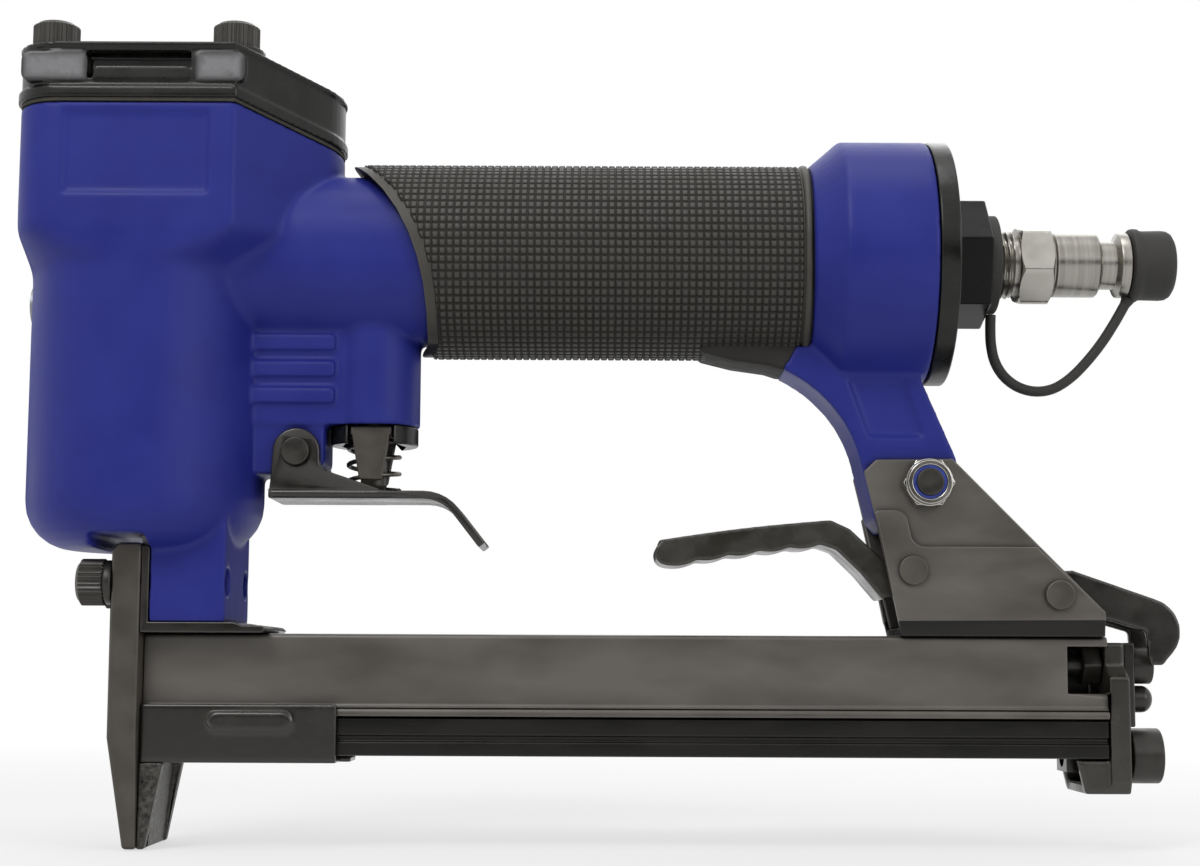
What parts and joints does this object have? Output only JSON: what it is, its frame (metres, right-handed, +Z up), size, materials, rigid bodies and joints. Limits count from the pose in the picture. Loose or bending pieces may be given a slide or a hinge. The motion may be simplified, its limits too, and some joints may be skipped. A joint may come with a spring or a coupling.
{
  "type": "pneumatic upholstery stapler",
  "caption": "Air powered upholstery stapler: pistol body with cylinder head, rubber grip, trigger valve and a long bottom-loading staple magazine released by a finger lever",
  "frame": {"origin": "on the driver line, in the plane of the nose's bottom face", "axes": "+X runs from the nose to the air inlet, +Z up along the cylinder, +Y to the left hand side"},
  "size_m": [0.2172, 0.0464, 0.1518],
  "materials": {
    "blue_paint": "satin",
    "gasket_paper": "matte",
    "black_enamel": "gloss",
    "black_oxide": "satin",
    "insert_metal": "satin",
    "aluminium": "satin",
    "rubber": "matte",
    "grip_rubber": "matte",
    "urethane": "satin",
    "bright_steel": "gloss",
    "spring_steel": "satin",
    "white_plastic": "satin",
    "nylon": "satin"
  },
  "bodies": {
    "stapler_body": {"body_casting": "blue_paint", "cap_gasket": "gasket_paper", "cylinder_cap": "black_enamel", "nose_plate": "black_enamel", "nose_sheet": "black_enamel", "nose_block": "black_enamel", "magazine_rail": "black_enamel", "front_cover": "black_enamel", "arm_plates": "black_enamel", "magazine_bracket": "black_enamel", "end_cap": "black_enamel", "inlet_bushing": "black_enamel", "valve_collar": "black_enamel", "cap_screws": "black_oxide", "nose_screws": "black_oxide", "nose_spring_washers": "black_oxide", "foot_pin": "black_oxide", "arm_bolt": "black_oxide", "lever_pin": "black_oxide", "latch_pin": "black_oxide", "trigger_pin": "black_oxide", "front_insert": "insert_metal", "cylinder_sleeve": "aluminium", "sleeve_o_rings": "rubber", "end_cap_o_ring": "rubber", "inlet_ring": "rubber", "dust_cap_strap": "rubber", "grip_sleeve": "grip_rubber", "bumper": "urethane", "arm_nut": "bright_steel", "air_plug": "bright_steel", "firing_valve_spring": "spring_steel", "latch_spring": "spring_steel", "trigger_clip": "spring_steel", "nut_ring": "nylon"},
    "trigger_body": {"trigger": "black_enamel"},
    "stem_body": {"valve_stem": "black_enamel", "valve_o_rings": "rubber", "trigger_spring": "spring_steel"},
    "piston_body": {"piston": "aluminium", "piston_o_ring": "rubber", "driver_blade": "bright_steel", "driver_pin": "bright_steel"},
    "firing_valve_body": {"firing_valve": "white_plastic"},
    "lever_body": {"lever": "black_enamel"},
    "latch_body": {"latch": "black_enamel"},
    "drawer_body": {"magazine_drawer": "black_enamel", "drawer_end_block": "black_enamel", "drawer_end_plate": "black_enamel", "catch_bracket": "black_enamel", "catch_bolt": "black_oxide", "catch_nut": "black_oxide", "catch_rivet": "black_oxide", "drawer_screw": "black_oxide", "pusher_rod": "bright_steel", "pusher_spring": "spring_steel"},
    "pusher_body": {"pusher": "bright_steel"},
    "dust_cap_body": {"dust_cap": "rubber"}
  },
  "joints": [
    {"name": "trigger_pull", "type": "hinge", "parent": "stapler_body", "child": "trigger_body", "pos_m": [0.0278, 0, 0.0727], "axis": [0, -1, 0], "range_deg": [0, 10], "stiffness_Nm_per_rad": 0.4, "springref_deg": -14.32, "deforming": ["trigger_spring"]},
    {"name": "valve_stem_lift", "type": "slide", "parent": "stapler_body", "child": "stem_body", "axis": [0, 0, 1], "range_m": [0, 0.0027]},
    {"name": "piston_stroke", "type": "slide", "parent": "stapler_body", "child": "piston_body", "axis": [0, 0, -1], "range_m": [0, 0.04]},
    {"name": "firing_valve_lift", "type": "slide", "parent": "stapler_body", "child": "firing_valve_body", "axis": [0, 0, 1], "range_m": [0, 0.002], "stiffness_N_per_m": 300, "springref_m": -0.002, "deforming": ["firing_valve_spring"]},
    {"name": "lever_squeeze", "type": "hinge", "parent": "stapler_body", "child": "lever_body", "pos_m": [0.1419, 0, 0.051], "axis": [0, 1, 0], "range_deg": [0, 9], "stiffness_Nm_per_rad": 0.5, "springref_deg": -14.32},
    {"name": "latch_lift", "type": "hinge", "parent": "stapler_body", "child": "latch_body", "pos_m": [0.1687, 0, 0.0466], "axis": [0, 1, 0], "range_deg": [-9.5, 0], "deforming": ["latch_spring"]},
    {"name": "drawer_slide", "type": "slide", "parent": "stapler_body", "child": "drawer_body", "axis": [1, 0, 0], "range_m": [0, 0.085]},
    {"name": "pusher_slide", "type": "slide", "parent": "drawer_body", "child": "pusher_body", "axis": [1, 0, 0], "range_m": [0, 0.075], "stiffness_N_per_m": 30, "springref_m": -0.05, "deforming": ["pusher_spring"]},
    {"name": "dust_cap_pull", "type": "slide", "parent": "stapler_body", "child": "dust_cap_body", "axis": [1, 0, 0], "range_m": [0, 0.012], "deforming": ["dust_cap_strap"]}
  ],
  "couplings": [
    {"joint": "valve_stem_lift", "follows": "trigger_pull", "m_per_rad": 0.0149},
    {"joint": "latch_lift", "follows": "lever_squeeze", "ratio": -1}
  ]
}
